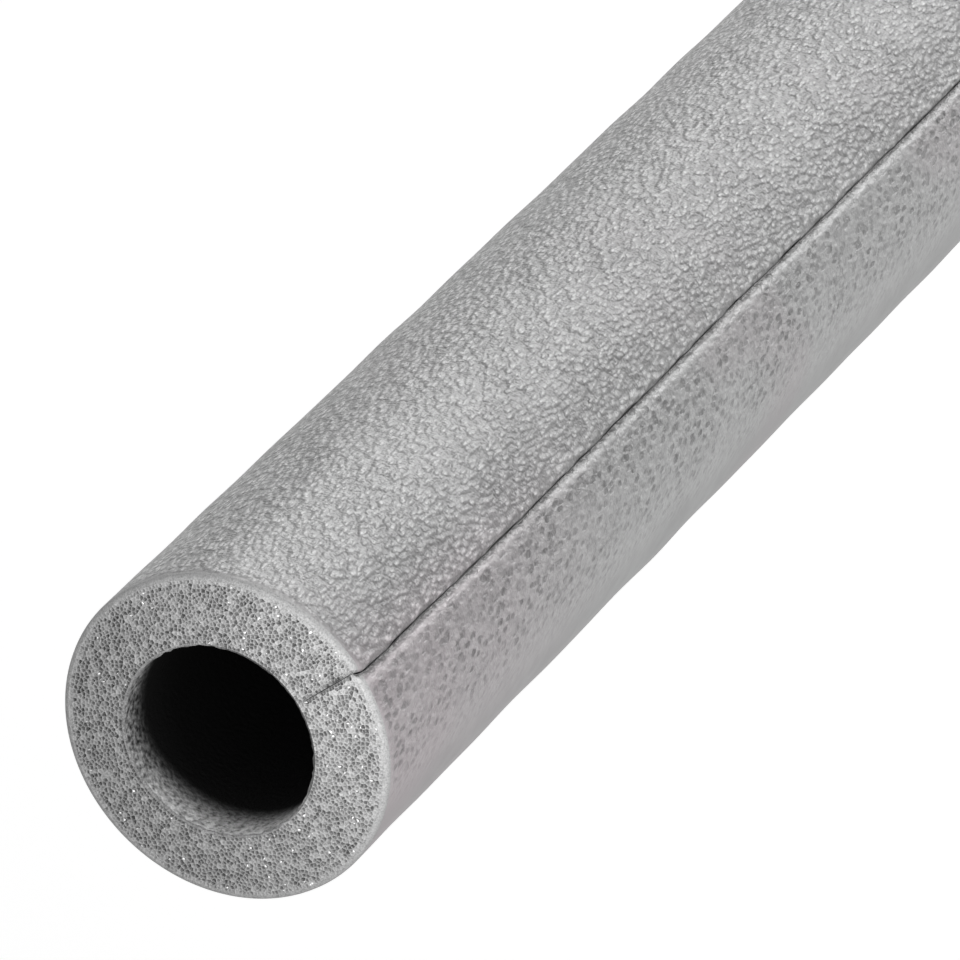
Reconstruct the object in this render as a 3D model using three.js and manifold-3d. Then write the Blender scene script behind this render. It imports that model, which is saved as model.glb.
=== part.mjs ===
// Foam pipe lagging: one extruded tube of closed-cell foam that is pushed over a pipe to keep its heat in.
// The wall is slit along the whole length, almost through to the bore, so that it can be torn open and
// closed round a pipe that is already fixed.
// The tube stands on its cut end on a level floor, z = 0, with the slit facing -Y. Millimetres, +Z up.

import * as THREE from "three";
import { mergeVertices } from "three/addons/utils/BufferGeometryUtils.js";
import Module from "manifold-3d";

// Tube
const length = 1000;
const boreDiameter = 25;
const wallThickness = 9;
// An extruded wall is never quite even: the bore sits this far from the tube's middle, away from the
// slit, so the slit runs down the thicker side.
const boreShift = 1.1;

// Cut ends
const rimRounding = 1.0; // the outer skin rolls over where the knife cut it
const mouthRounding = 0.5; // the same at the bore

// Slit
const slitMouthWidth = 0.5; // at the outer skin
const slitRootWidth = 0.1; // at its deepest
const slitLand = 1.2; // foam left uncut beside the bore
// The knife strays a little to each side of its line, in two waves of these lengths and reaches.
const slitWaves = [
  { waveLength: 47, reach: 0.06 },
  { waveLength: 118, reach: 0.1 },
];

// Smoothness
const sides = 96; // flats round the tube
const roundingSteps = 4; // flats across each rounded edge
const slitStep = 8; // between the places where the knife's line is bent
const overcut = 2; // how far a cutter stands out of what it cuts

const outerRadius = boreDiameter / 2 + wallThickness;
const boreRadius = boreDiameter / 2;
const halfLength = length / 2;
const slitAngle = -Math.PI / 2;

const wasm = await Module();
wasm.setup();

// A closed three.js geometry as a solid that can be cut.
function solidFrom(geometry) {
  const bare = geometry.clone();
  bare.deleteAttribute("normal");
  bare.deleteAttribute("uv");
  const merged = mergeVertices(bare);
  return new wasm.Manifold(
    new wasm.Mesh({
      numProp: 3,
      vertProperties: merged.attributes.position.array,
      triVerts: new Uint32Array(merged.index.array),
    }),
  );
}

// A cut solid as a three.js geometry again.
function geometryFrom(solid) {
  const { numProp, numVert, vertProperties, triVerts } = solid.getMesh();
  const positions = new Float32Array(numVert * 3);
  for (let i = 0; i < numVert; i++) {
    positions.set(vertProperties.subarray(i * numProp, i * numProp + 3), i * 3);
  }
  const geometry = new THREE.BufferGeometry();
  geometry.setAttribute("position", new THREE.BufferAttribute(positions, 3));
  geometry.setIndex(new THREE.BufferAttribute(triVerts, 1));
  const faceted = geometry.toNonIndexed();
  faceted.computeVertexNormals();
  return faceted;
}

// Points of a quarter circle round (radius, height), from one angle to another, for a turned profile.
function quarterTurn(centreRadius, centreHeight, rounding, fromDeg, toDeg) {
  const points = [];
  for (let i = 0; i <= roundingSteps; i++) {
    const angle = THREE.MathUtils.degToRad(fromDeg + ((toDeg - fromDeg) * i) / roundingSteps);
    points.push(
      new THREE.Vector2(
        centreRadius + rounding * Math.cos(angle),
        centreHeight + rounding * Math.sin(angle),
      ),
    );
  }
  return points;
}

// A profile of radius and height, turned round the Z axis.
function turned(profile) {
  return new THREE.LatheGeometry(profile, sides).rotateX(Math.PI / 2);
}

// The tube without its bore: a rod whose two ends have a rolled rim.
function rod() {
  const rimHeight = halfLength - rimRounding;
  const rimCentre = outerRadius - rimRounding;
  return turned([
    new THREE.Vector2(0, -halfLength),
    ...quarterTurn(rimCentre, -rimHeight, rimRounding, -90, 0),
    ...quarterTurn(rimCentre, rimHeight, rimRounding, 0, 90),
    new THREE.Vector2(0, halfLength),
  ]);
}

// What the extruder's mandrel leaves out, opened a little at both mouths.
function boreCore() {
  const mouthHeight = halfLength - mouthRounding;
  const mouthCentre = boreRadius + mouthRounding;
  const end = halfLength + overcut;
  return turned([
    new THREE.Vector2(0, -end),
    new THREE.Vector2(mouthCentre, -end),
    ...quarterTurn(mouthCentre, -mouthHeight, mouthRounding, 270, 180),
    ...quarterTurn(mouthCentre, mouthHeight, mouthRounding, 180, 90),
    new THREE.Vector2(mouthCentre, end),
    new THREE.Vector2(0, end),
  ]).translate(0, boreShift, 0);
}

// How far the knife is off its straight line at a distance from the tube's middle.
function wanderAt(distance) {
  let offLine = 0;
  for (const { waveLength, reach } of slitWaves) {
    offLine += reach * Math.sin((2 * Math.PI * distance) / waveLength);
  }
  return offLine;
}

// The wedge of foam that the slit's lips leave open.
function slitBlade() {
  const root = boreRadius - boreShift + slitLand;
  const top = outerRadius + overcut;
  const spread = (slitMouthWidth - slitRootWidth) / (outerRadius - root);
  const topWidth = slitMouthWidth + spread * overcut;
  const wedge = new THREE.Shape([
    new THREE.Vector2(root, -slitRootWidth / 2),
    new THREE.Vector2(top, -topWidth / 2),
    new THREE.Vector2(top, topWidth / 2),
    new THREE.Vector2(root, slitRootWidth / 2),
  ]);
  const reach = length + 2 * overcut;
  const blade = new THREE.ExtrudeGeometry(wedge, {
    depth: reach,
    steps: Math.ceil(reach / slitStep),
    bevelEnabled: false,
  });
  blade.translate(0, 0, -reach / 2);
  const places = blade.attributes.position;
  for (let i = 0; i < places.count; i++) {
    places.setY(i, places.getY(i) + wanderAt(places.getZ(i)));
  }
  return blade.rotateZ(slitAngle);
}

function foamTube() {
  const solid = solidFrom(rod())
    .subtract(solidFrom(boreCore()))
    .subtract(solidFrom(slitBlade()));
  const foam = new THREE.MeshStandardMaterial({ color: 0xa8a8a8, roughness: 0.75, metalness: 0 });
  const mesh = new THREE.Mesh(geometryFrom(solid), foam);
  mesh.name = "foam_tube";
  mesh.position.z = halfLength;
  return mesh;
}

const lagging = new THREE.Group();
lagging.add(foamTube());

export default lagging;
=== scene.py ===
# %% [markdown]
# # Foam pipe lagging
#
# The object is one grey foam tube that is closed round a hot water pipe to keep the heat in. It was
# pushed out of a die as one piece, so here it is one closed mesh too: a bubbly outer skin, two cut ends
# that are full of small open cells, a smooth bore, and a slit that a knife left along the wall.
#
# This first cell loads the imported model, in metres, with the tube standing on the floor on one end. Its
# box is kept.

# %% Load the imported model
import math

import bpy
import numpy as np
from mathutils import Matrix, Vector
from mathutils.geometry import delaunay_2d_cdt


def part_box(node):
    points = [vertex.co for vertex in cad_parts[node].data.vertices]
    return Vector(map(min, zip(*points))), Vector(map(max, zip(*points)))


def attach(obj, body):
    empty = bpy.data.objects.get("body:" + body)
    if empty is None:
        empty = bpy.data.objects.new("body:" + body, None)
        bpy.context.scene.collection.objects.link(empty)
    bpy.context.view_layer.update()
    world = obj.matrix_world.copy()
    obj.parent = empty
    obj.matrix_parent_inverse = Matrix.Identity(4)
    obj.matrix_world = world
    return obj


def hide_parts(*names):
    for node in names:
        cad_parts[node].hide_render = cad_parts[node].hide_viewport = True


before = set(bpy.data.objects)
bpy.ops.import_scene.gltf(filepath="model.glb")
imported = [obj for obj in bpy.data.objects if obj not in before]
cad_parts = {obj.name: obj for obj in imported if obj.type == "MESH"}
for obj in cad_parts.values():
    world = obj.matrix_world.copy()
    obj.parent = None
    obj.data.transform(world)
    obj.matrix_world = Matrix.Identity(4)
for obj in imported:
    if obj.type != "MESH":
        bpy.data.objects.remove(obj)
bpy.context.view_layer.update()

low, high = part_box("foam_tube")
print("packed tube, metres:", [round(float(h - l), 4) for l, h in zip(low, high)])

# %% [markdown]
# ## Sizes
#
# The mesh is worked out in millimetres, because the cells are smaller than one. The outside and the
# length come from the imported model, and the rest repeats the sizes that it was cut to. A place on the
# tube is given by its distance from the axis, its height, and its turn from the slit, which faces the
# front, -Y. A turn of 0 is the slit's right lip and a whole turn is its left one.

# %% Sizes of the tube, in millimetres
MM = 0.001
TURN = 2 * math.pi
OUTER = 1000 * float(high[0] - low[0]) / 2
TALL = 1000 * float(high[2])
BORE = 12.5
BORE_SHIFT = 1.1  # the bore sits this much further from the slit than the tube's middle
RIM = 0.7  # how far the skin rolls over at a cut end
MOUTH = 0.3  # the same at the bore
SLIT_ROOT = BORE - BORE_SHIFT + 1.2  # the knife stopped here, this far from the axis
LIP_GAP = 0.2  # the slit's width at the skin
ROOT_GAP = 0.08  # and at its root
SLIT_WAVES = [(47, 0.06), (118, 0.1)]  # wave length and reach of the knife's two wobbles

dice = np.random.default_rng(2503)


def place(radius, turn, height, middle=0.0):
    """Points at a distance from an axis, a turn from the slit and a height."""
    radius, turn, height = np.broadcast_arrays(radius, turn, height)
    return np.stack([radius * np.sin(turn), middle - radius * np.cos(turn), height], axis=-1)


print(f"outside {2 * OUTER:.1f}, bore {2 * BORE:.1f}, length {TALL:.0f}, slit {OUTER - SLIT_ROOT:.1f} deep")

# %% [markdown]
# ## A mesh that is sewn together from parts
#
# The skin, the ends, the bore and the slit meet along rows of shared points, so that the tube is one
# closed mesh. `Cloth` below only collects points and faces. `zip_rows` sews two rows of any number of
# points together with triangles: it always takes the next point of the row that lags behind. That is how
# a fine row at a cut end can grow coarser down the long skin, where nothing small is left to draw.
#
# Every point also carries three marks that the finishes read later. `hollow` says how dark it is. Deep
# in an open cell and beside the slit that is painted shade. On a torn edge it is the edge's own darker
# tone, made stronger on the slit's side as painted shade. `shade` is the cell's own tone, and `film` is
# where a film across the cell shines with a painted glint.

# %% Collect points and faces
SKIN, CELLS, BORE_WALL, SLIT_WALL = range(4)


class Cloth:
    """Points, their marks and the faces between them, until they become a mesh."""

    def __init__(self):
        self.points, self.marks, self.faces, self.kinds = [], [], [], []
        self.count = 0

    def add(self, points, hollow=0.0, shade=0.5, film=0.0):
        """Adds points and their marks, and returns their numbers."""
        points = np.asarray(points, float).reshape(-1, 3)
        marks = np.broadcast_arrays(hollow, shade, film, np.zeros(len(points)))[:3]
        self.points.append(points)
        self.marks.append(np.stack(marks, axis=-1))
        self.count += len(points)
        return np.arange(self.count - len(points), self.count)

    def face(self, kind, *corners):
        self.faces.append([int(c) for c in corners])
        self.kinds.append(kind)

    def zip_rows(self, kind, row_a, row_b, at_a=None, at_b=None):
        """Sews two rows together. at_a and at_b say how far along each point is, from 0 to 1."""
        at_a = np.linspace(0, 1, len(row_a)) if at_a is None else at_a
        at_b = np.linspace(0, 1, len(row_b)) if at_b is None else at_b
        a = b = 0
        while a < len(row_a) - 1 or b < len(row_b) - 1:
            if b == len(row_b) - 1 or (
                a < len(row_a) - 1 and at_a[a] + at_a[a + 1] <= at_b[b] + at_b[b + 1] + 1e-9
            ):
                if row_a[a] != row_a[a + 1]:
                    self.face(kind, row_a[a], row_a[a + 1], row_b[b])
                a += 1
            else:
                if row_b[b] != row_b[b + 1]:
                    self.face(kind, row_a[a], row_b[b + 1], row_b[b])
                b += 1


tube = Cloth()

# %% [markdown]
# ## Where the foam's cells lie
#
# Foam is a crowd of bubbles that pressed flat against each other as they grew. A knife cut through such a
# crowd leaves a net of thin walls. The same net comes from scattering points and giving each one the
# ground that is nearest to it. `scatter_cells` throws the points like darts that keep their distance.
# Rows of points that face each other across the rim, across the bore's edge and across the slit make the
# net end exactly there.

# %% Scatter the middles of the cells
RIM_EDGE = OUTER - RIM
MOUTH_EDGE = BORE + MOUTH
RIM_CELLS, MOUTH_CELLS = 264, 148
ROW_INSET, MOUTH_INSET = 0.23, 0.25  # from an edge to the first row of cells
SLIT_CELLS = 16  # pairs of cells that face each other across the slit
APART = 0.42  # the closest that two cells' middles lie
ROW_APART = APART - 0.03  # the same beside an edge
ROOT_CLEAR = 0.68  # the ground that is kept free round the slit's root
BEHIND_ROOT = 0.1  # the middle of that ground lies this far behind the root
FIRST_PAIR = 0.45  # the first pair of cells lies this far in front of the root
BOX = 0.6  # neighbours are looked up in boxes of this size
DARTS = 90000


def box_of(point):
    return int(point[0] // BOX), int(point[1] // BOX)


def flat(radius, turn, middle=0.0):
    return place(radius, turn, 0.0, middle)[..., :2]


def scatter_cells():
    """Middles of the cells of one cut end, and the mirror points beyond its edges."""
    rim_turns = (np.arange(RIM_CELLS) + 0.5) * TURN / RIM_CELLS
    mouth_turns = (np.arange(MOUTH_CELLS) + 0.5) * TURN / MOUTH_CELLS
    rim_row = flat(RIM_EDGE - ROW_INSET, rim_turns)
    mouth_row = flat(MOUTH_EDGE + MOUTH_INSET, mouth_turns, BORE_SHIFT)
    side, last = rim_row[0]
    down = np.linspace(-SLIT_ROOT - FIRST_PAIR, last, SLIT_CELLS + 1)[:-1]
    pairs = [np.column_stack([np.full(SLIT_CELLS, s), down]) for s in (side, -side)]
    kept = [*rim_row, *mouth_row, *np.concatenate(pairs)]
    root = np.array([0.0, -SLIT_ROOT + BEHIND_ROOT])
    boxes = {}
    for point, clear in [*((p, ROW_APART) for p in kept), (root, ROOT_CLEAR)]:
        boxes.setdefault(box_of(point), []).append((point, clear))
    tries = dice.uniform(-OUTER, OUTER, (DARTS, 2))
    from_axis = np.hypot(*tries.T)
    from_bore = np.hypot(tries[:, 0], tries[:, 1] - BORE_SHIFT)
    inside = (from_axis < RIM_EDGE - ROW_INSET) & (from_bore > MOUTH_EDGE + MOUTH_INSET)
    for point in tries[inside]:
        i, j = box_of(point)
        near = [q for di in (-1, 0, 1) for dj in (-1, 0, 1) for q in boxes.get((i + di, j + dj), [])]
        if all(math.hypot(point[0] - p[0], point[1] - p[1]) >= clear for p, clear in near):
            kept.append(point)
            boxes.setdefault((i, j), []).append((point, APART))
    mirrored = np.concatenate(
        [
            flat(RIM_EDGE + ROW_INSET, rim_turns),
            flat(MOUTH_EDGE - MOUTH_INSET, mouth_turns, BORE_SHIFT),
        ]
    )
    return np.array(kept), mirrored


print("cells on one cut end:", len(scatter_cells()[0]))

# %% [markdown]
# ## The net of cell walls
#
# Joining the scattered points into triangles that hold no other point, and then joining the middles of
# those triangles' circles, gives the walls. Blender has the first step ready made. Corners that fall
# almost on each other are joined, because a wall shorter than a twentieth of a millimetre would only
# make a sliver. Corners on an edge are moved exactly onto it.

# %% Work out the net
ON_EDGE = 0.01  # a corner this close to an edge belongs to it
ON_LINE = 1e-5  # the same for the slit's line, which the pairs of cells meet exactly
SHORTEST_WALL = 0.05
SHORTEST_ON_EDGE = 1e-3


def circle_middles(a, b, c):
    """The middles of the circles through three points each."""
    b, c = b - a, c - a
    twice = 2 * (b[:, 0] * c[:, 1] - b[:, 1] * c[:, 0])
    bb, cc = (b**2).sum(1), (c**2).sum(1)
    x = (c[:, 1] * bb - b[:, 1] * cc) / twice
    y = (b[:, 0] * cc - c[:, 0] * bb) / twice
    return a + np.column_stack([x, y])


def draw_net(middles, mirrored):
    """The corners of the net, which of them lie on an edge, and each cell's corners in order."""
    every = np.concatenate([middles, mirrored])
    _, _, triangles, sources, _, _ = delaunay_2d_cdt([Vector(p) for p in every], [], [], 0, 1e-7)
    source = [s[0] for s in sources]
    triangles = np.array([[source[v] for v in t] for t in triangles])
    triangles = triangles[(triangles < len(middles)).any(1)]
    corners = circle_middles(*(every[triangles[:, k]] for k in range(3)))
    from_bore = corners - [0, BORE_SHIFT]
    on_rim = abs(np.hypot(*corners.T) - RIM_EDGE) < ON_EDGE
    on_mouth = abs(np.hypot(*from_bore.T) - MOUTH_EDGE) < ON_EDGE
    ahead = (abs(corners[:, 0]) < ON_LINE) & (corners[:, 1] < 0)
    corners[ahead, 0] = 0.0
    on_slit = ahead & (corners[:, 1] < -SLIT_ROOT + 2 * BEHIND_ROOT)
    corners[on_rim] *= (RIM_EDGE / np.hypot(*corners[on_rim].T))[:, None]
    scale = MOUTH_EDGE / np.hypot(*from_bore[on_mouth].T)
    corners[on_mouth] = from_bore[on_mouth] * scale[:, None] + [0, BORE_SHIFT]
    on_edge = on_rim | on_mouth | ahead
    leader = np.arange(len(corners))

    def lead(k):
        while leader[k] != k:
            k = leader[k]
        return k

    by_side = {}
    for t, triangle in enumerate(triangles):
        for k in range(3):
            side = tuple(sorted((triangle[k], triangle[k - 1])))
            by_side.setdefault(side, []).append(t)
    for pair in by_side.values():
        if len(pair) == 2:
            a, b = lead(pair[0]), lead(pair[1])
            gap = math.hypot(*(corners[a] - corners[b]))
            shortest = SHORTEST_ON_EDGE if on_edge[a] or on_edge[b] else SHORTEST_WALL
            if a != b and gap < shortest:
                a, b = (a, b) if on_edge[a] or not on_edge[b] else (b, a)
                leader[b] = a
    around = [[] for _ in middles]
    for t, triangle in enumerate(triangles):
        for v in triangle:
            if v < len(middles):
                around[v].append(lead(t))
    cells = []
    for middle, ring in zip(middles, around):
        ring = np.array(sorted(set(ring)))
        turn = np.arctan2(corners[ring, 1] - middle[1], corners[ring, 0] - middle[0])
        cells.append(ring[np.argsort(turn)])
    return corners, (on_rim, on_mouth, on_slit), cells


# %% [markdown]
# ## One cut end
#
# Each cell becomes a little pit with a rounded lip: its walls stand at the level of the cut, step down
# to a narrower ring, and end in a point at the bottom. The knife met each bubble at another height, so
# every pit has its own depth and leans its own way, and its deeper rings get painted shade. Beside the
# rim the pits are shallow, because the cells there were pressed flat as the skin froze. Here and there a
# film across a cell has a painted glint, as the sparkling specks in the cut do. The foot end stands on
# the floor, so its cells are plain pits.
#
# The walls' tops are a little uneven, and beside the bore the knife tore them, which a darker mark
# shows. On the slit's side that mark is made stronger as painted shade.
#
# The slit runs through the net from the rim towards the bore. Its corners are made twice, once for each
# lip, so that the two sides can stand apart. The lips and the pits beside them get painted shade.

# %% Cut an end
UNEVEN = 0.03  # how far a wall's top may lie under the cut
TORN_REACH = 0.3  # how quickly the torn look fades away from the bore
# painted shade on the cells beside the slit
SLIT_SHADE = 0.15  # how much darker the cells beside the slit are
SHALLOW_RIM = 0.6  # cells are shallower within this distance of the rim
SHINY_SHARE = 0.045  # the share of cells with a film that catches the light


def slit_gap(radius):
    """How far apart the slit's two walls stand at a distance from the axis."""
    share = np.clip((radius - SLIT_ROOT) / (OUTER - SLIT_ROOT), 0, 1)
    return ROOT_GAP + (LIP_GAP - ROOT_GAP) * share


def cut_end(level, outward, rings):
    """Adds the cells of an end and returns the rows of points along its rim, its bore and its slit."""
    corners, (on_rim, on_mouth, on_slit), cells = draw_net(*scatter_cells())
    used = np.unique(np.concatenate(cells))
    number = np.full(len(corners), -1)
    uneven = np.where(on_rim | on_mouth, 0, dice.uniform(0, UNEVEN, len(corners)))
    heights = level - outward * uneven
    beside_bore = np.exp((MOUTH_EDGE - np.hypot(*(corners - [0, BORE_SHIFT]).T)) / TORN_REACH)
    frayed = dice.uniform(0, 0.25, len(corners)) + 0.15 * on_rim
    # beside the bore the torn mark, made stronger on the slit's side as painted shade
    frayed += beside_bore * np.clip(-corners[:, 1] / 8, 0.3, 1.4)
    number[used] = tube.add(np.column_stack([corners, heights])[used], frayed[used])
    split = used[on_slit[used]]
    split = split[np.argsort(-corners[split, 1])]
    root, split = split[0], split[1:]
    lips = {}
    for side in (1, -1):
        sideways = side * slit_gap(-corners[split, 1]) / 3
        beside = np.column_stack([sideways, corners[split, 1], np.full(len(split), level)])
        # painted shade on the slit's lips at the cut end
        lips[side] = dict(zip(split, tube.add(beside, hollow=1.2)))
    for cell in cells:
        ground = corners[cell]
        side = 1 if ground[:, 0].mean() > 0 else -1
        ring = [lips[side].get(c, number[c]) for c in cell]
        outline = ground.copy()
        for k, c in enumerate(cell):
            if c in lips[side]:
                outline[k, 0] = side * slit_gap(-corners[c, 1]) / 3
        dig_cell(ring, outline, level, outward, rings)
    rim = used[on_rim[used]]
    rim = rim[np.argsort(np.arctan2(corners[rim, 0], -corners[rim, 1]) % TURN)]
    rim = [lips[1][rim[0]], *number[rim[1:]], lips[-1][rim[0]]]
    mouth = used[on_mouth[used]]
    from_bore = corners[mouth] - [0, BORE_SHIFT]
    mouth = mouth[np.argsort(np.arctan2(from_bore[:, 0], -from_bore[:, 1]) % TURN)]
    mouth = [*number[mouth], number[mouth[0]]]
    walls = {side: [number[root], *(lips[side][c] for c in split)] for side in (1, -1)}
    reach = [SLIT_ROOT, *(-corners[split, 1])]
    return rim, mouth, walls, reach


def dig_cell(ring, outline, level, outward, rings):
    """Hollows one cell out, down to a point."""
    middle = outline.mean(0)
    size = np.hypot(*(outline - middle).T).mean()
    from_rim = RIM_EDGE - math.hypot(*middle)
    depth = size * dice.uniform(0.35, 1.5) * min(max(from_rim / SHALLOW_RIM, 0.4), 1)
    lean = dice.normal(0, 0.16, 2) * size
    # painted shade on the cells beside the slit
    slit_shade = SLIT_SHADE if abs(middle[0]) < FIRST_PAIR and middle[1] < -SLIT_ROOT else 0.0
    shade = dice.uniform() + slit_shade
    shiny = dice.uniform() < SHINY_SHARE
    # each ring: its width next to the outline's, how far down it lies, and how much painted shade it has
    steps = [(1 - min(0.04 / size, 0.4), 0.1, 0.3), (0.55, 0.6, 0.65)][:rings]
    for narrow, fall, dark in steps:
        points = middle + lean * fall + (outline - middle) * narrow
        height = np.full(len(points), level - outward * depth * fall)
        film = np.zeros(len(points))
        # one point of a shiny cell's inner ring gets a painted glint
        if shiny and narrow < 0.6:
            film[dice.integers(len(points))] = 1
        hollow = dark * min(depth / size, 1) + slit_shade
        inner = tube.add(np.column_stack([points, height]), hollow, shade, film)
        for k in range(len(ring)):
            tube.face(CELLS, ring[k - 1], ring[k], inner[k], inner[k - 1])
        ring = inner
    bottom = tube.add([*(middle + lean), level - outward * depth], min(depth / size, 1), shade)[0]
    for k in range(len(ring)):
        tube.face(CELLS, ring[k - 1], ring[k], bottom)


top_edge = cut_end(TALL, 1, rings=2)
foot_edge = cut_end(0.0, -1, rings=0)
print("points", tube.count, "faces", len(tube.faces))

# %% [markdown]
# ## The skin and the slit's walls
#
# The skin is drawn from lip to lip in rows that go round the tube. At a cut end a row has a point for
# every cell of the rim, and within three millimetres it thins out to 64. Those 64 crowd together near
# the slit, where the skin dips over the lips. The slit's two walls meet in a line at the root, and each
# wall shares its outer edge with the skin.
#
# A soft tube is never quite straight, so the skin swells and sinks by a tenth of a millimetre over a few
# centimetres, and each lip has small kinks where the knife jumped. Beside the slit, most on its left
# lip, a mark on the points darkens the skin with painted shade.
#
# The rows lie 2.6 mm apart in the top quarter, which is looked at from near by, and 5 mm apart below it.

# %% Draw the skin and the slit
FINE, MIDDLE, COARSE = RIM_CELLS, 128, 64
ROLL = 0.42  # how far the skin dips at a lip
KINK = 0.11  # how far the knife jumped sideways
LIP_WIDTH = 0.3  # how far from the slit the skin starts to dip
# painted shade beside the slit
LIP_SHADES = {1: (0.5, 0.33), -1: (1.0, 0.36)}  # for each lip, how dark it is and how wide
WALL_STOPS = np.array([13.6, 15.5, 17.5, 19.3, 20.8])  # where a wall has points, from the axis
ROUND_STEPS = 3  # steps in which the skin rolls over at a cut end
FRAYED = 0.3  # how dark the torn edge is where the skin starts to roll over
LEVEL_END = 12  # the swells fade out this far from an end


def columns(count, crowding):
    """Shares of a turn from 0 to 1 that lie closer together towards both lips."""
    k = np.arange(count) + 0.5
    from_lip = np.minimum(k, count - k) * 64 / count
    widths = 1 - crowding * np.exp(-((from_lip / 5) ** 2))
    return np.concatenate([[0], np.cumsum(widths) / widths.sum()])


# each swell: its reach, its waves along and round the tube, and where it starts
SWELLS = [
    (dice.uniform(0.01, 0.03), TURN / dice.uniform(18, 60), dice.integers(1, 4), dice.uniform(0, TURN))
    for _ in range(7)
]


def swell(turn, height):
    """How far the skin stands out at a turn and a height. It is level at the ends."""
    waves = sum(r * np.sin(w * height + n * turn + s) for r, w, n, s in SWELLS)
    return waves * np.clip(np.minimum(height, TALL - height) / LEVEL_END, 0, 1)


def lip_shade(side, from_lip):
    """How much shade is painted on the skin beside the slit, on its right side (1) or its left one (-1)."""
    right, left = (dark * np.exp(-((from_lip / wide) ** 2)) for dark, wide in LIP_SHADES.values())
    return np.where(side > 0, right, left)


def skin_row(shares, radius, height, frayed=0.0):
    """Adds one row of the skin, from the right lip round to the left one."""
    turn = shares * TURN
    from_lip = np.minimum(turn, TURN - turn) * OUTER
    side = np.where(shares < 0.5, 1, -1)
    dip = ROLL * np.exp(-from_lip / LIP_WIDTH)
    points = place(radius - dip + swell(turn, height), turn, height)
    kinks = dice.uniform(-KINK, KINK) + np.where(side > 0, *dice.uniform(-KINK, KINK, 2)) / 2
    gap = slit_gap(radius) * dice.uniform(0.6, 1.5)
    points[:, 0] += side * gap / 2 * np.exp(-from_lip) + kinks * np.exp(-from_lip / 0.6)
    torn = frayed * dice.uniform(0.3, 1.3, len(points))
    return tube.add(points, lip_shade(side, from_lip) + torn)


def wall_row(side, height):
    """Adds the points of one wall of the slit between its root and its lip."""
    across = side * slit_gap(WALL_STOPS) / 2 + dice.uniform(-0.03, 0.03, len(WALL_STOPS))
    return tube.add(np.column_stack([across, -WALL_STOPS, np.full(len(WALL_STOPS), height)]))


def slit_rows(height, row):
    """Adds both walls of the slit at a height. They share the point at the root."""
    root = tube.add([0.0, -SLIT_ROOT, height])[0]
    return {side: [root, *wall_row(side, height), row[0 if side > 0 else -1]] for side in (1, -1)}


def round_end(edge, level, outward):
    """Rolls the skin over at a cut end and fills the slit's walls up to the cut."""
    rim, _, walls, reach = edge
    lips = {1: [], -1: []}
    for step in range(1, ROUND_STEPS + 1):
        bend = step / ROUND_STEPS * math.pi / 2
        radius = RIM_EDGE + RIM * math.sin(bend)
        height = level - outward * RIM * (1 - math.cos(bend))
        row = skin_row(columns(FINE, 0), radius, height, FRAYED - FRAYED * step / ROUND_STEPS)
        tube.zip_rows(CELLS, rim, row)
        rim = row
        lips[1].append(row[0])
        lips[-1].append(row[-1])
    below = slit_rows(level - outward * RIM, rim)
    for side in (1, -1):
        above = [*walls[side], *lips[side][:-1]]
        at_above = [*reach, *np.linspace(RIM_EDGE + RIM / 3, OUTER - RIM / 5, ROUND_STEPS - 1)]
        tube.zip_rows(SLIT_WALL, above, below[side], at_above, [SLIT_ROOT, *WALL_STOPS, OUTER])
    return rim, below


rim_row, wall_rows = round_end(top_edge, TALL, 1)
last_row, last_walls = round_end(foot_edge, 0.0, -1)
FIRST_ROW = 1.4  # its distance from an end, and from the second row
levels = [TALL - FIRST_ROW, *np.linspace(TALL - 2 * FIRST_ROW, TALL - 260, 100)]
levels += [*np.linspace(TALL - 265, TALL / 2, 48)]
levels += [*np.linspace(TALL / 2 - 5, 2 * FIRST_ROW, 99), FIRST_ROW]
shares = columns(FINE, 0)
for height in levels:
    near_end = height in (levels[0], levels[-1])
    next_shares = columns(MIDDLE, 0.45) if near_end else columns(COARSE, 0.85)
    row = skin_row(next_shares, OUTER, height)
    tube.zip_rows(SKIN, rim_row, row, shares, next_shares)
    walls = slit_rows(height, row)
    for side in (1, -1):
        tube.zip_rows(SLIT_WALL, wall_rows[side], walls[side])
    rim_row, wall_rows, shares = row, walls, next_shares
tube.zip_rows(SKIN, rim_row, last_row, shares, columns(FINE, 0))
for side in (1, -1):
    tube.zip_rows(SLIT_WALL, wall_rows[side], last_walls[side])
print("rows", len(levels), "points", tube.count, "faces", len(tube.faces))

# %% [markdown]
# ## The bore
#
# The bore was formed on a smooth core, so it needs few points. The cut end turns over into it within a
# third of a millimetre. That edge isn't a clean circle: the foam is thin there and tears, so each point
# is moved in or out a little, and gets a darker mark. On the slit's side that mark is made stronger as
# painted shade.

# %% Draw the bore
MOUTH_STEPS = 2
RAGGED = 0.07  # how far the torn edge strays from a circle


def bore_row(count, radius, height):
    """Adds one ring of points round the bore, with a torn mark made stronger on the slit's side as painted
    shade.
    """
    turns = np.arange(count) * TURN / count
    torn = np.clip(np.cos(turns), 0.5, 1.3) * dice.uniform(0.8, 1.2, count)
    row = tube.add(place(radius, turns, height, BORE_SHIFT), torn)
    return [*row, row[0]]


def mouth(edge, level, outward):
    """Rolls the cut end over into the bore."""
    row = edge[1]
    for step in range(1, MOUTH_STEPS + 1):
        bend = step / MOUTH_STEPS * math.pi / 2
        radius = MOUTH_EDGE - MOUTH * math.sin(bend)
        ragged = radius + dice.normal(0, RAGGED, MOUTH_CELLS)
        height = level - outward * MOUTH * (1 - math.cos(bend))
        inner = bore_row(MOUTH_CELLS, ragged, height)
        tube.zip_rows(CELLS, row, inner)
        row = inner
    return row


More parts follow.
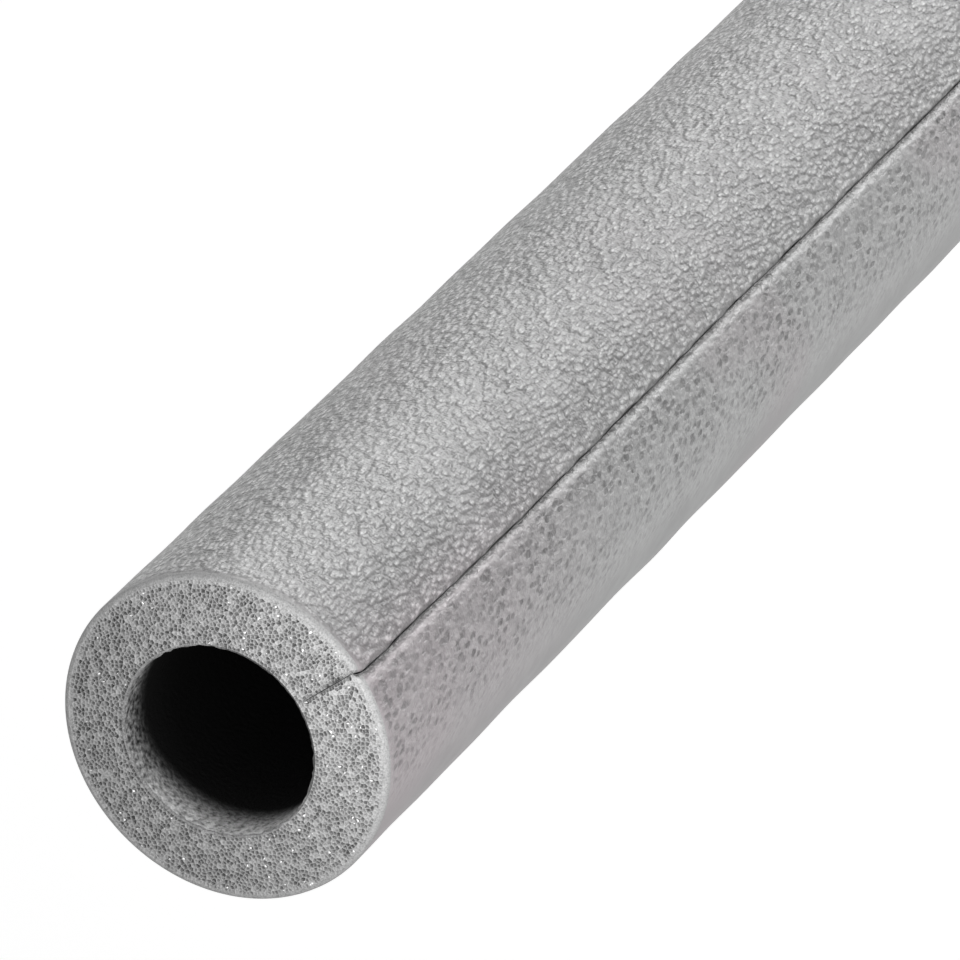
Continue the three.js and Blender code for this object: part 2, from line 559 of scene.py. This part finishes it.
row, last_row = mouth(top_edge, TALL, 1), mouth(foot_edge, 0.0, -1)
FIRST_RING = 1.0  # its distance from an end
for height in [TALL - FIRST_RING, *np.linspace(TALL - 2.2, 2.2, 101), FIRST_RING]:
    count = MOUTH_CELLS // 2 if height in (TALL - FIRST_RING, FIRST_RING) else MOUTH_CELLS // 4
    inner = bore_row(count, BORE, height)
    tube.zip_rows(BORE_WALL, row, inner)
    row = inner
tube.zip_rows(BORE_WALL, row, last_row)
print("points", tube.count, "faces", len(tube.faces))

# %% [markdown]
# ## One closed mesh
#
# The knife's slow wobble moves the slit, the lips and the cells beside it sideways together. Near the
# top end the whole slit drifts to the right by a fifth of a millimetre, and in the last millimetre its
# outer part bends over by most of a millimetre more, because the foam gave way under the cutter.
#
# Then the points become a Blender mesh. Each point's marks go along as attributes, and each face gets
# the finish of its kind. Edges where the slit's walls start stay sharp, and all the others are smoothed.
#
# The finishes are worked out in space and need no flat picture of the surface. But a part that is handed
# on as a plain model does, so the skin, the bore and the walls are also laid out flat, side by side, in
# true shape, with the two cut ends four times as large because their cells are so small.

# %% Make the mesh
import bmesh

DRIFT, DRIFT_LENGTH = 0.2, 60
BEND, BEND_LENGTH = 0.8, 1.3
MOVED_WIDTH = 4  # how far to each side the foam goes along with the slit

points = np.concatenate(tube.points)
marks = np.concatenate(tube.marks)


def wander(height):
    along = height - TALL / 2
    return sum(reach * np.sin(TURN * along / wave) for wave, reach in SLIT_WAVES)


warped = points.copy()
outwards = -points[:, 1]
near_slit = np.exp(-((points[:, 0] / MOVED_WIDTH) ** 2)) * np.clip((outwards - 9) / 3, 0, 1)
below_top = TALL - points[:, 2]
drift = DRIFT * np.exp(-below_top / DRIFT_LENGTH)
bend = BEND * np.exp(-below_top / BEND_LENGTH) * np.clip((outwards - SLIT_ROOT) / 8, 0, 1)
warped[:, 0] += (wander(points[:, 2]) + drift + bend) * near_slit

mesh = bpy.data.meshes.new("foam_lagging")
mesh.from_pydata((warped * MM).tolist(), [], tube.faces)
mesh.polygons.foreach_set("material_index", np.array(tube.kinds, dtype=np.int32))
for column, name in enumerate(("hollow", "shade", "film")):
    values = np.ascontiguousarray(marks[:, column], dtype=np.float32)
    mesh.attributes.new(name, "FLOAT", "POINT").data.foreach_set("value", values)

work = bmesh.new()
work.from_mesh(mesh)
bmesh.ops.recalc_face_normals(work, faces=work.faces)
if work.calc_volume(signed=True) < 0:
    bmesh.ops.reverse_faces(work, faces=work.faces)
open_edges = sum(len(e.link_faces) != 2 for e in work.edges)
for edge in work.edges:
    kinds = {f.material_index for f in edge.link_faces}
    edge.smooth = len(kinds) == 1 or SLIT_WALL not in kinds
for face in work.faces:
    face.smooth = True
print("open edges", open_edges, "volume, litres", round(work.calc_volume() * 1000, 4))
work.to_mesh(mesh)
work.free()
mesh.calc_loop_triangles()
print("triangles", len(mesh.loop_triangles))

# %% Lay the surfaces out flat
STRIP = TALL / 2  # the long surfaces are cut into two lengths
ROUND_SKIN, ROUND_BORE = TURN * OUTER, TURN * BORE
WALL_STRIP = OUTER - SLIT_ROOT + 2
BORE_STRIP = ROUND_BORE * 1.06  # a face on the seam may reach past a whole turn
SPACE = 4.0
END_SCALE = 4.0


def unrolled(turn, radius):
    """How far round the corners of a face lie, without a jump at the seam."""
    turn = turn % TURN
    return np.where(turn.max() - turn > math.pi, turn + TURN, turn) * radius


def flat_corners(kind, corners):
    """Where the corners of one face go on the flat sheet, in millimetres."""
    middle = corners.mean(0)
    low_part = middle[2] < STRIP
    height = corners[:, 2] - (0 if low_part else STRIP)
    start = 0 if low_part else ROUND_SKIN + SPACE
    if kind == SKIN:
        turn = np.arctan2(corners[:, 0], -corners[:, 1])
        return start + unrolled(turn, OUTER), height
    start = 2 * (ROUND_SKIN + SPACE) + (0 if low_part else BORE_STRIP + SPACE)
    if kind == BORE_WALL:
        turn = np.arctan2(corners[:, 0], BORE_SHIFT - corners[:, 1])
        return start + unrolled(turn, BORE), height
    start = 2 * (ROUND_SKIN + BORE_STRIP + 2 * SPACE)
    if kind == SLIT_WALL:
        number = (0 if low_part else 1) + (0 if middle[0] > 0 else 2)
        return start + number * WALL_STRIP - corners[:, 1] - SLIT_ROOT + 1, height
    start += 4 * WALL_STRIP + END_SCALE * OUTER
    upper = END_SCALE * OUTER * (1 if low_part else 3.1)
    return start + corners[:, 0] * END_SCALE, upper + corners[:, 1] * END_SCALE


corner_points = np.empty(len(mesh.loops), dtype=np.int32)
mesh.loops.foreach_get("vertex_index", corner_points)
sheet = np.empty((len(mesh.loops), 2), dtype=np.float32)
for face in mesh.polygons:
    span = slice(face.loop_start, face.loop_start + face.loop_total)
    sheet[span] = np.column_stack(flat_corners(face.material_index, points[corner_points[span]]))
sheet -= sheet.min(0) - SPACE
sheet_size = float(sheet.max()) + SPACE
mesh.uv_layers.new(name="OFBake").data.foreach_set("uv", (sheet / sheet_size).ravel())
print("flat sheet, mm:", [round(float(v)) for v in sheet.max(0)])

foam = bpy.data.objects.new("foam_lagging", mesh)
bpy.context.collection.objects.link(foam)

# %% [markdown]
# ## Sums on wires
#
# A finish, or material, is a small calculation for every point of the surface. In Blender it is drawn
# as boxes joined by wires. `Wire` stands for one such wire, so that ordinary sums can be written and the
# boxes for them appear by themselves. `Wire.node` makes any other box: its kind, its settings, then what
# goes into it.

# %% A wire that can be used in sums
class Wire:
    def __init__(self, tree, made=None, output=0):
        self.tree, self.made, self.output = tree, made, output

    @property
    def socket(self):
        return self.made.outputs[self.output]

    def node(self, kind, settings=None, values=None, output=0):
        made = self.tree.nodes.new("ShaderNode" + kind)
        for name, value in (settings or {}).items():
            setattr(made, name, value)
        for name, value in (values or {}).items():
            if isinstance(value, Wire):
                self.tree.links.new(value.socket, made.inputs[name])
            else:
                made.inputs[name].default_value = value
        return Wire(self.tree, made, output)

    def math(self, operation, *values):
        return self.node("Math", {"operation": operation}, dict(enumerate(values)))

    def __add__(self, other):
        return self.math("ADD", self, other)

    def __radd__(self, other):
        return self.math("ADD", other, self)

    def __sub__(self, other):
        return self.math("SUBTRACT", self, other)

    def __rsub__(self, other):
        return self.math("SUBTRACT", other, self)

    def __mul__(self, other):
        return self.math("MULTIPLY", self, other)

    def __rmul__(self, other):
        return self.math("MULTIPLY", other, self)

    def exp(self):
        return self.math("EXPONENT", self)

    def least(self, other):
        return self.math("MINIMUM", self, other)

    def ramp(self, start, end, low=0.0, high=1.0):
        """Goes softly from low to high while this wire goes from start to end."""
        settings = {"interpolation_type": "SMOOTHSTEP", "clamp": True}
        return self.node("MapRange", settings, {0: self, 1: start, 2: end, 3: low, 4: high})

    def blend(self, first, second):
        """Goes from the first colour to the second while this wire goes from 0 to 1."""
        return self.node("Mix", {"data_type": "RGBA"}, {0: self, 6: first, 7: second}, 2)

    def scaled(self, factor):
        """This vector or colour times a number."""
        return self.node("VectorMath", {"operation": "SCALE"}, {0: self, "Scale": factor})

    def tint(self, colour, cast):
        """Multiplies a colour by a cast, as much as this wire says."""
        settings = {"data_type": "RGBA", "blend_type": "MULTIPLY"}
        return self.node("Mix", settings, {0: self, 6: colour, 7: cast}, 2)

    def bump(self, reach, strength=1.0):
        """Lets the light fall as if this wire were a relief that reaches so many millimetres."""
        values = {"Strength": strength, "Distance": reach * MM, "Height": self}
        return self.node("Bump", {}, values)

    def parts(self):
        """The three numbers of this vector."""
        return [self.node("SeparateXYZ", {}, {0: self}, axis) for axis in "XYZ"]

    def noise(self, size, detail=2.0):
        """Soft cloudy noise from 0 to 1, with spots of about that size."""
        return self.node("TexNoise", {}, {"Vector": self, "Scale": 1 / size, "Detail": detail})


def grey(value):
    return (value, value, value, 1.0)


def start_finish(name):
    """A new material, and a wire with the place on the tube in millimetres."""
    material = bpy.data.materials.new(name)
    material.use_nodes = True
    material.node_tree.nodes.clear()
    empty = Wire(material.node_tree)
    return material, empty.node("TexCoord", {}, {}, "Object").scaled(1 / MM)


def place_parts(spot):
    """How far a place is to the right, to the back and up, and how far from the nearer end."""
    across, back, height = spot.parts()
    return across, back, height, height.least(TALL - height)


def end_finish(material, wire, values):
    """Closes a finish with a plain surface that has these values."""
    surface = wire.node("BsdfPrincipled", {}, values)
    wire.node("OutputMaterial", {}, {"Surface": surface})
    foam.data.materials.append(material)


def mark(wire, name):
    """One of the marks that the points carry, as a wire."""
    return wire.node("Attribute", {"attribute_name": name}, {}, "Fac")


# %% [markdown]
# ## The skin, part by part
#
# The skin froze while the bubbles under it still pushed, so most of it is bubbly. To the left of the
# slit it was pressed against something as it cooled, so there it is nearly smooth, with small dimples.
# Next to a cut end the knife smeared it flat.
#
# This cell works out where each kind of skin is, as shares from 0 to 1 that go over softly from one to
# the other. `strength` is how bubbly the skin is. Noise over a centimetre or so makes it patchy.

# %% Where the skin is bubbly, smooth or smeared
material, spot = start_finish("foam_skin")
across, back, height, from_end = place_parts(spot)
wide = spot.noise(3.0, 1.0)
patches = spot.noise(9.0).ramp(0.35, 0.65)
smeared = (from_end - wide).ramp(0.0, 1.4, 1.0, 0.0)
smooth_side = across.ramp(0.4, -0.6) * back.ramp(0.0, -6.0)
strength = (patches * 0.2 + 0.8) * (1 - smeared * 0.8)
strength = strength * (1 - smooth_side * 0.7 - across.ramp(-9.0, -17.0) * 0.3)
print("boxes that say where:", len(material.node_tree.nodes))

# %% [markdown]
# ## Bubbles and creases
#
# The bubbles are low domes less than a millimetre wide, drawn out to twice that along the tube as it was
# pulled from the die. Cells of scattered points give them: the height falls off with the distance from
# the nearest point. Three noises of about a bubble's size and below it make no two bubbles alike, and
# break up the dark creases between them, which would otherwise join up into a net.
#
# The tops are paler with a painted highlight, and the creases darker with painted shade.

# %% Bubbles
BUBBLES_PER_MM = 1.5
DRAWN_OUT = (1.0, 1.0, 0.465)
drawn = spot.node("VectorMath", {"operation": "MULTIPLY"}, {0: spot, 1: DRAWN_OUT})
cells = {"Vector": drawn, "Scale": BUBBLES_PER_MM, "Smoothness": 0.5}
bubbles = drawn.node("TexVoronoi", {"feature": "SMOOTH_F1"}, cells, "Distance")
uneven = drawn.noise(0.85, 1.0) - 0.5
tiny = drawn.noise(0.6, 1.0)
speck = spot.noise(0.42, 1.0) - 0.5
dome = (bubbles * bubbles * -3.5).exp()
relief = (dome + uneven * 0.95 + tiny * 0.55 + speck * 0.65 + wide * 0.4) * strength
# painted shade in the creases between the bubbles, and a painted highlight on their tops
crease_shade = (bubbles - uneven * 0.8 + speck * 0.9).ramp(0.18, 0.7)
painted_top_highlight = bubbles.ramp(0.36, 0.08) * 0.52
bubbly = painted_top_highlight.blend(crease_shade.blend(grey(0.315), grey(0.164)), grey(0.6))
print("boxes, with the bubbles:", len(material.node_tree.nodes))

# %% [markdown]
# ## Dimples
#
# The smooth side has small dark dimples that all slant the same way, and faint streaks in that
# direction. Scattered points in space would mostly miss the thin skin, so the dimples are laid out flat
# instead: on the distance round the tube and the height, turned and stretched to their slant. They are
# most crowded near the slit and fade out towards the back.

# %% Dimples and streaks of the smooth side
arc = across.math("ARCTAN2", across, back * -1.0) * OUTER
along_slant = {"X": arc * -0.654 - height * 0.317, "Y": arc * 0.46 - height * 0.288}
slanted = spot.node("CombineXYZ", {}, along_slant)
flat_cells = {"Vector": slanted, "Scale": 1.0}
pits = slanted.node("TexVoronoi", {"voronoi_dimensions": "2D"}, flat_cells, "Distance")
dimpled = smooth_side * across.ramp(-18.0, -9.0) * (patches * 0.4 + 0.6)
crowded = across.ramp(-10.0, -3.0)
dimples = (pits + (tiny - 0.5) * 0.6 - crowded * 0.07).ramp(0.4, 0.12)
dimples = dimples * (wide.ramp(0.35, 0.6) * 0.55 + 0.45) * dimpled
streaks = (slanted.noise(0.5) - 0.5) * dimpled
relief = relief - dimples * 0.5 + streaks * 1.5
print("boxes, with the dimples:", len(material.node_tree.nodes))

# %% [markdown]
# ## Tones of the skin
#
# The foam's own grey is almost even, with a warm cast here and there. Over it lie layers, each a share
# of a paler or darker grey. Painted light makes the skin paler near the ends on the right front, a
# painted highlight runs along the left lip, and the smooth side is a little paler. Painted shade darkens
# it in bands on both sides of the slit, on the far left and towards the back. Close to the top end it is
# a little pink. The mark on the points then paints shade on the skin right beside the slit.

# %% Finish of the skin
WARM_GREY = (0.262, 0.248, 0.253, 1.0)
PINK_CAST = (1.01, 0.945, 0.97, 1.0)
even = wide.ramp(0.25, 0.75).blend(grey(0.242), grey(0.278))
even = spot.noise(28.0, 1.0).ramp(0.45, 0.65).blend(even, WARM_GREY)
colour = strength.blend(even, bubbly)
# painted shade in the dimples, and darker streaks
colour = (dimples * 0.85 + streaks * 0.85).blend(colour, grey(0.06))
colour = (smeared * 0.6).blend(colour, grey(0.3))

# painted light: paler skin near the ends, on the right front
painted_end_light = from_end.ramp(110.0, 5.0) * across.ramp(8.0, 16.0) * back.ramp(-8.0, -14.0) * 0.2
# a painted highlight along the left lip
lip = across.ramp(-1.5, -0.9) * across.ramp(-0.3, -0.6)
colour = (painted_end_light + smooth_side * 0.06 + lip * 0.34).blend(colour, grey(0.6))

# painted shade: darker bands on both sides of the slit, towards the back and on the far left
painted_shade_bands = across.ramp(10.5, 5.0) * across.ramp(1.0, 3.0) * 0.17 + back.ramp(-12.0, -4.0) * 0.1
painted_shade_bands = painted_shade_bands + across.ramp(-7.0, -3.5) * across.ramp(-0.7, -1.6) * 0.12
painted_shade_bands = painted_shade_bands + across.ramp(-13.5, -18.5) * 0.28
colour = painted_shade_bands.blend(colour, grey(0.0))

flushed = (TALL - height).ramp(80.0, 20.0) * across.ramp(8.0, 0.0) * back.ramp(6.0, -6.0)
colour = flushed.tint(colour, PINK_CAST)
# painted shade on the skin right beside the slit, from the points' mark
colour = mark(spot, "hollow").blend(colour, grey(0.04))
bump = relief.bump(0.37)
end_finish(material, relief, {"Base Color": colour, "Roughness": 0.44, "Normal": bump})
print("boxes in the whole finish:", len(material.node_tree.nodes))

# %% [markdown]
# ## The cut cells
#
# A cut end shows the insides of the cells. The walls' edges are palest and the bottoms darkest, which is
# painted shade. Every cell has a slightly different grey, and a few films shine with a painted glint.
# The marks on the points say all this, so only a fine grain is added here.

# %% Finish of the cut ends
material, spot = start_finish("foam_cells")
hollow, shade, film = (mark(spot, name) for name in ("hollow", "shade", "film"))
grain = spot.noise(0.2)
# the mark hollow paints shade: darker deeper in the cells, beside the slit and at the bore's torn edge
tone = hollow + (shade - 0.5) * 0.3 + (grain - 0.5) * 1.2
colour = tone.ramp(-0.35, 1.1).blend(grey(0.345), grey(0.03))
# a painted glint where a film shines, plus a lower roughness
colour = film.ramp(0.2, 0.6).blend(colour, grey(0.9))
bump = grain.bump(0.1, strength=0.8)
rough = 0.6 - film * 0.35
end_finish(material, spot, {"Base Color": colour, "Roughness": rough, "Normal": bump})

# %% [markdown]
# ## The bore and the slit
#
# The bore's wall is mottled, and paler on its left and back with painted light.
# Hardly any light reaches down it, and the grey is painted darker with the depth so that it stays black
# inside under any light. It goes black a little deeper down on the lit side.
#
# The slit's walls are cut foam that is pressed shut. Inside they are painted dark as shade, and at the
# skin and at the ends, where they are open to the light, they are painted paler as light.

# %% Finish of the bore
material, spot = start_finish("foam_bore")
across, back, _, from_end = place_parts(spot)
fine = spot.noise(0.6, 3.0)
# painted light: paler on the left and back of the bore, and black a little deeper down there
lit_side = (back * 0.4 - across).ramp(0.0, 13.0)
mottle_and_light = lit_side * 0.55 + (fine - 0.5) * 3.0 + 0.23
mottle_and_light = mottle_and_light.ramp(-0.5, 1.5).blend(grey(0.015), grey(0.54))
colour = (from_end - lit_side * 1.2).ramp(-1.2, 6.3).blend(mottle_and_light, grey(0.003))
dull = {"Roughness": 0.8, "Specular IOR Level": 0.1}
end_finish(material, spot, {"Base Color": colour, "Normal": fine.bump(0.3), **dull})

# %% Finish of the slit's walls
material, spot = start_finish("foam_slit")
_, back, _, from_end = place_parts(spot)
fine = spot.noise(0.5)
# painted light at the skin and at the ends, painted shade deeper in the slit
painted_lit_edge = (fine * 0.6 - back).ramp(20.0, 21.8) + from_end.ramp(1.5, 0.0) * 0.7
colour = painted_lit_edge.least(1.0).blend(grey(0.1), grey(0.4))
bump = fine.bump(0.2, strength=0.8)
end_finish(material, spot, {"Base Color": colour, "Roughness": 0.7, "Normal": bump})
print("finishes", [m.name for m in foam.data.materials])

# %% [markdown]
# ## Floor, light and camera
#
# The tube stands on a wide white floor in an even, pale room. The floor glows a little, so that it is
# as white behind the tube as in front of it. The lamps are soft discs:
#
# - `key`, `above` and `front` light the long skin from three sides. Between them they give it its broad
#   bands of light and shade.
# - `sheen_low` and `sheen_high` stand low, in front and to the right, and shine up along the tube
#   towards the camera. Light that grazes the skin glints on the bubbles, which shows them far better
#   than light from the camera's side.
# - `end` is a small lamp close over the cut end, which brightens its slit side.
#
# The camera looks down on the top end along a line that is nearly the tube's own, from well away, so
# that the tube grows only a little narrower. It is rolled until the tube points to the upper right.

# %% Floor and light
FLOOR_SIZE, FLOOR_GLOW, ROOM_LIGHT = 12, 0.36, 0.5
bpy.ops.mesh.primitive_plane_add(size=FLOOR_SIZE)
floor = bpy.context.object
floor.name = "floor"
paint = bpy.data.materials.new("floor_white")
paint.use_nodes = True
glow = {"Emission Color": grey(1.0), "Emission Strength": FLOOR_GLOW}
for name, value in {"Base Color": grey(0.92), "Roughness": 0.9, **glow}.items():
    paint.node_tree.nodes["Principled BSDF"].inputs[name].default_value = value
floor.data.materials.append(paint)

scene = bpy.context.scene
room = bpy.data.worlds.new("pale_room")
room.use_nodes = True
backdrop = room.node_tree.nodes["Background"]
backdrop.inputs["Color"].default_value = grey(1.0)
backdrop.inputs["Strength"].default_value = ROOM_LIGHT
scene.world = room
scene.view_settings.view_transform = "Standard"


def soft_light(name, towards, distance, size, power, target=(0, 0, 0.95)):
    """A round lamp that shines at a point on the tube from a direction."""
    lamp = bpy.data.lights.new(name, "AREA")
    lamp.shape, lamp.size, lamp.energy = "DISK", size, power
    light = bpy.data.objects.new(name, lamp)
    direction = Vector(towards).normalized()
    light.location = Vector(target) + direction * distance
    light.rotation_euler = direction.to_track_quat("Z", "Y").to_euler()
    light.visible_camera = False
    bpy.context.collection.objects.link(light)


soft_light("key", (0.83, -0.55, 0.35), 1.2, 0.6, 1.9)
soft_light("above", (-0.1, 0.2, 1.0), 1.6, 1.2, 5.6)
soft_light("front", (-0.55, -0.83, 0.35), 1.6, 0.8, 10.0)
soft_light("sheen_low", (0.316, -0.481, -0.818), 0.9, 0.3, 3.6)
soft_light("sheen_high", (0.561, -0.126, -0.818), 0.9, 0.3, 2.1)
soft_light("end", (0, 0, 1), 0.04, 0.02, 0.0275, target=(-0.002, -0.0235, 1.0))
print("lamps", [lamp.name for lamp in bpy.data.lights])

# %% Camera
AZIMUTH, ELEVATION, ROLLED = math.radians(17.15), math.radians(54.92), math.radians(-134.55)
AWAY, ASIDE, ABOVE = 1.4754, 0.0305, 0.0309  # where the lens is, seen from the middle of the top end
back = Vector(
    (
        math.sin(AZIMUTH) * math.cos(ELEVATION),
        -math.cos(AZIMUTH) * math.cos(ELEVATION),
        math.sin(ELEVATION),
    )
)
level = Vector((math.cos(AZIMUTH), math.sin(AZIMUTH), 0))
upward = back.cross(level)
right = level * math.cos(ROLLED) + upward * math.sin(ROLLED)
up = back.cross(right)
lens = bpy.data.cameras.new("camera")
lens.lens, lens.sensor_width = 462.7, 36
camera = bpy.data.objects.new("camera", lens)
spot_of_lens = Vector((0, 0, TALL * MM)) + back * AWAY + right * ASIDE + up * ABOVE
camera.matrix_world = Matrix.Translation(spot_of_lens) @ Matrix((right, up, back)).transposed().to_4x4()
bpy.context.collection.objects.link(camera)
scene.camera = camera
print("camera right", [round(v, 4) for v in right], "up", [round(v, 4) for v in up])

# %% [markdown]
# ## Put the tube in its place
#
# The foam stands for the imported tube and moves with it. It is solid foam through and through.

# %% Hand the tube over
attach(foam, "root")
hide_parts("foam_tube")
